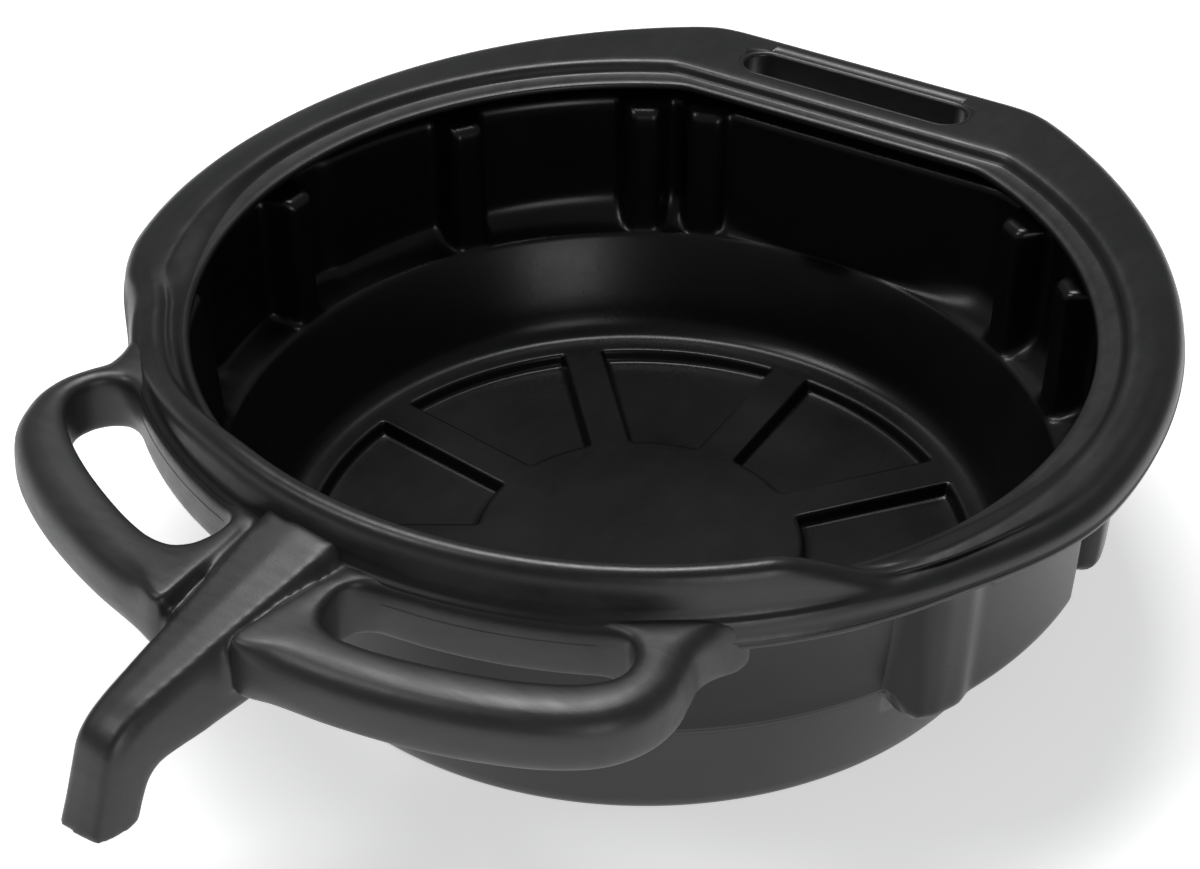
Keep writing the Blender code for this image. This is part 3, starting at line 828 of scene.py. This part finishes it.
def makeFront():
    parts = [makeLip(), makeHandle("rightBar", 1.0), makeHandle("leftBar", -1.0), makeSpout()]
    mesh = bmesh.new()
    for part in parts:
        mesh.from_mesh(part.data)
        bpy.data.objects.remove(part)
    data = bpy.data.meshes.new("frontSkin")
    mesh.to_mesh(data)
    mesh.free()
    piece = bpy.data.objects.new("frontSkin", data)
    scene.collection.objects.link(piece)
    remesh = piece.modifiers.new("grown", "REMESH")
    remesh.mode = "VOXEL"
    remesh.voxel_size = front["voxel"]
    remesh.use_smooth_shade = True
    graph = bpy.context.evaluated_depsgraph_get()
    fresh = bpy.data.meshes.new_from_object(piece.evaluated_get(graph))
    piece.modifiers.clear()
    piece.data = fresh
    mesh = bmesh.new()
    mesh.from_mesh(fresh)
    for _ in range(front["even"]):
        softened(mesh, mesh.verts)
    weights = [(vert, joinedWeight(vert.co)) for vert in mesh.verts]
    for turn in range(front["blend"]):
        chosen = [vert for vert, weight in weights if weight > turn / front["blend"]]
        softened(mesh, chosen)
    bmesh.ops.recalc_face_normals(mesh, faces=mesh.faces)
    mesh.to_mesh(fresh)
    mesh.free()
    fresh.shade_smooth()
    declare(piece, litFrontPlastic, "handle_right", "handle_left", "pour_spout")
    return piece


makeBasin()
makeRim()
makeSlotLining()
makeFront()
print("pieces made")


# Studio.
studio = {
    "floor": (0.86, 0.86, 0.86),
    "world": (0.92, 0.94, 0.96),
    "worldStrength": 0.16,
    "floorGlow": 0.55,
    "lights": (
        # name, place, aimed at, width, depth, power
        ("overhead", (-0.5, 0.7, 2.3), (0.0, 0.0, 0.1), 1.1, 0.9, 40.0),
        ("frontLeft", (-1.2, -1.2, 2.3), (0.0, 0.0, 0.1), 0.8, 0.8, 16.0),
        ("frontRight", (1.9, -1.5, 0.8), (0.0, 0.0, 0.1), 0.9, 0.9, 9.0),
    ),
}


def makeFloor():
    mesh = bmesh.new()
    bmesh.ops.create_circle(mesh, cap_ends=True, segments=96, radius=9.0)
    data = bpy.data.meshes.new("studioFloor")
    mesh.to_mesh(data)
    mesh.free()
    made = bpy.data.objects.new("studioFloor", data)
    scene.collection.objects.link(made)
    pale = bpy.data.materials.new("paleFloor")
    pale.use_nodes = True
    shader = pale.node_tree.nodes["Principled BSDF"]
    shader.inputs["Base Color"].default_value = (*studio["floor"], 1.0)
    shader.inputs["Roughness"].default_value = 0.9
    shader.inputs["Specular IOR Level"].default_value = 0.1
    shader.inputs["Emission Color"].default_value = (1.0, 1.0, 1.0, 1.0)
    shader.inputs["Emission Strength"].default_value = studio["floorGlow"]
    data.materials.append(pale)


def makeLights():
    world = bpy.data.worlds.new("studioWorld")
    scene.world = world
    world.use_nodes = True
    background = world.node_tree.nodes["Background"]
    background.inputs["Color"].default_value = (*studio["world"], 1.0)
    background.inputs["Strength"].default_value = studio["worldStrength"]
    for name, at, aim, width, depth, power in studio["lights"]:
        lamp = bpy.data.lights.new(name, "AREA")
        lamp.shape = "RECTANGLE"
        lamp.size = width
        lamp.size_y = depth
        lamp.energy = power
        made = bpy.data.objects.new(name, lamp)
        made.location = at
        made.rotation_euler = (Vector(aim) - Vector(at)).to_track_quat("-Z", "Y").to_euler()
        scene.collection.objects.link(made)


# Camera.
camera = {
    "azimuth": 29.8053,
    "elevation": 36.0589,
    "roll": 0.4069,
    "distance": 1.3935,
    "target": (-0.0540, 0.0579, 0.0108),
    "lens": 87.51,
    "sensor": 36.0,
}


def makeCamera():
    az = math.radians(camera["azimuth"])
    el = math.radians(camera["elevation"])
    roll = math.radians(camera["roll"])
    back = Vector((math.sin(az) * math.cos(el), -math.cos(az) * math.cos(el), math.sin(el)))
    right = (-back).cross(Vector((0.0, 0.0, 1.0))).normalized()
    up = right.cross(-back)
    axisX = right * math.cos(roll) + up * math.sin(roll)
    axisY = up * math.cos(roll) - right * math.sin(roll)
    shift = Vector((plan["shiftX"], plan["shiftY"], 0.0)) * plan["unit"]
    lens = bpy.data.cameras.new("studioCamera")
    lens.lens = camera["lens"]
    lens.sensor_fit = "HORIZONTAL"
    lens.sensor_width = camera["sensor"]
    made = bpy.data.objects.new("studioCamera", lens)
    matrix = made.matrix_world.copy()
    for row in range(3):
        matrix[row][0] = axisX[row]
        matrix[row][1] = axisY[row]
        matrix[row][2] = back[row]
        matrix[row][3] = (Vector(camera["target"]) + shift + back * camera["distance"])[row]
    made.matrix_world = matrix
    scene.collection.objects.link(made)
    scene.camera = made


makeFloor()
makeLights()
makeCamera()
scene.view_settings.view_transform = "Standard"
scene.view_settings.look = "None"
print("studio made")
